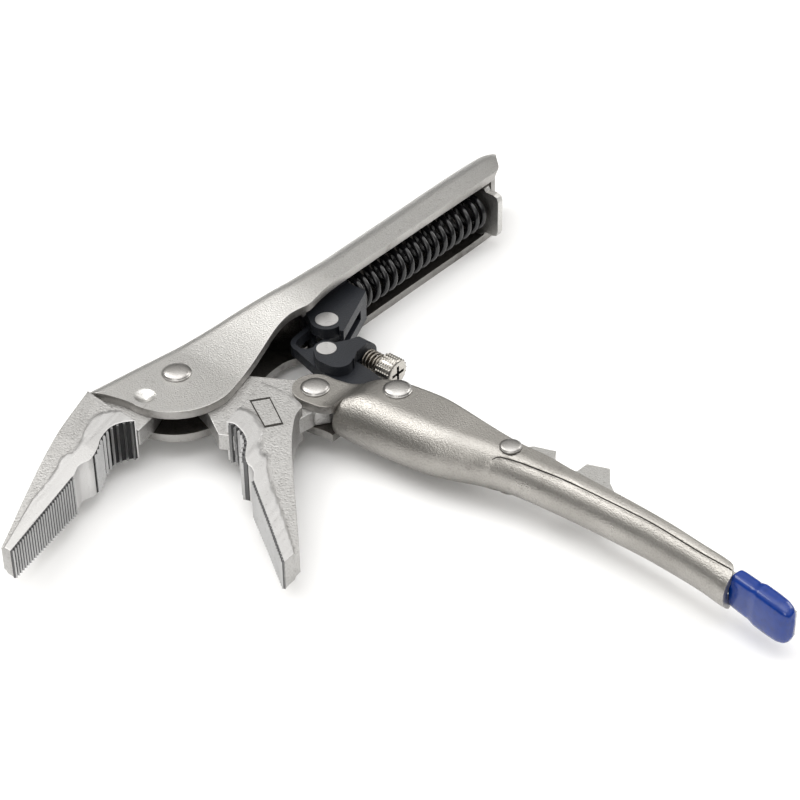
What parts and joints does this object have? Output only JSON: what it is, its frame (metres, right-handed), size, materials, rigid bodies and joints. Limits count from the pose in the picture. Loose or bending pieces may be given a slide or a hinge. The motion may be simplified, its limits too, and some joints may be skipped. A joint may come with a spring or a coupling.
{
  "type": "self-adjusting locking pliers",
  "caption": "Long-nose self-adjusting locking pliers: pressed steel handles, serrated jaws, spring-loaded slider, toggle link, adjusting screw and release lever with coated tip.",
  "frame": {"origin": "axis of the main jaw pivot, on the mid plane of the tool", "axes": "+X along the upper handle towards its rear end, +Y towards its spine, +Z square to the plane in which the jaws swing"},
  "size_m": [0.2235, 0.2032, 0.0232],
  "materials": {
    "plated_sheet": "satin nickel plate on pressed sheet",
    "forged_steel": "matt forged and ground steel",
    "polished_rivet": "polished rivet heads and pin ends",
    "black_spring": "glossy black spring wire",
    "bare_spring": "bare spring wire",
    "black_oxide": "black oxide, slightly rough",
    "bright_screw": "bright knurled head, darker thread",
    "blue_coating": "dipped glossy blue vinyl"
  },
  "bodies": {
    "upper_handle": {"upper_handle": "plated_sheet", "fixed_jaw": "forged_steel", "jaw_rivet": "polished_rivet", "spring_anchor": "plated_sheet", "main_spring": "black_spring"},
    "moving_jaw": {"moving_jaw": "forged_steel"},
    "lower_handle": {"lower_handle": "plated_sheet", "handle_rivet": "polished_rivet", "link_rivet": "polished_rivet", "lever_rivet": "polished_rivet", "lever_spring": "bare_spring"},
    "release_lever": {"release_lever": "plated_sheet", "lever_tip": "blue_coating"},
    "toggle_link": {"toggle_link": "black_oxide", "cam_pin": "polished_rivet"},
    "cam_block": {"cam_block": "black_oxide", "screw_spring": "bare_spring"},
    "adjusting_screw": {"adjusting_screw": "bright_screw"},
    "slider": {"slider": "black_oxide", "slider_pin": "polished_rivet"}
  },
  "joints": [
    {"name": "jaw_hinge", "type": "hinge", "parent": "upper_handle", "child": "moving_jaw", "pos_m": [0, 0, 0], "axis": [0, 0, -1], "range_deg": [0, 49]},
    {"name": "handle_hinge", "type": "hinge", "parent": "moving_jaw", "child": "lower_handle", "pos_m": [0.0193, -0.0346, 0], "axis": [0, 0, 1], "range_deg": [0, 128.6]},
    {"name": "link_hinge", "type": "hinge", "parent": "lower_handle", "child": "toggle_link", "pos_m": [0.0298, -0.0557, 0], "axis": [0, 0, -1], "range_deg": [0, 132]},
    {"name": "slider_slide", "type": "slide", "parent": "upper_handle", "child": "slider", "axis": [1, 0, 0], "range_m": [0, 0.0063], "deforming": ["main_spring"]},
    {"name": "release_hinge", "type": "hinge", "parent": "lower_handle", "child": "release_lever", "pos_m": [0.0314, -0.0938, 0], "axis": [0, 0, 1], "range_deg": [0, 6], "stiffness_Nm_per_rad": 0.15, "springref_deg": -5.73},
    {"name": "cam_hinge", "type": "hinge", "parent": "toggle_link", "child": "cam_block", "pos_m": [0.0352, -0.0248, 0], "axis": [0, 0, 1], "range_deg": [-2, 2]},
    {"name": "screw_turn", "type": "hinge", "parent": "cam_block", "child": "adjusting_screw", "pos_m": [0.044, -0.04, 0], "axis": [0, 1, 0], "range_deg": [-180, 180]}
  ],
  "couplings": [
    {"joint": "jaw_hinge", "follows": "handle_hinge", "ratio": 0.37693},
    {"joint": "link_hinge", "follows": "handle_hinge", "ratio": 1.0147},
    {"joint": "slider_slide", "follows": "handle_hinge", "m_per_rad": 0.0026875}
  ]
}
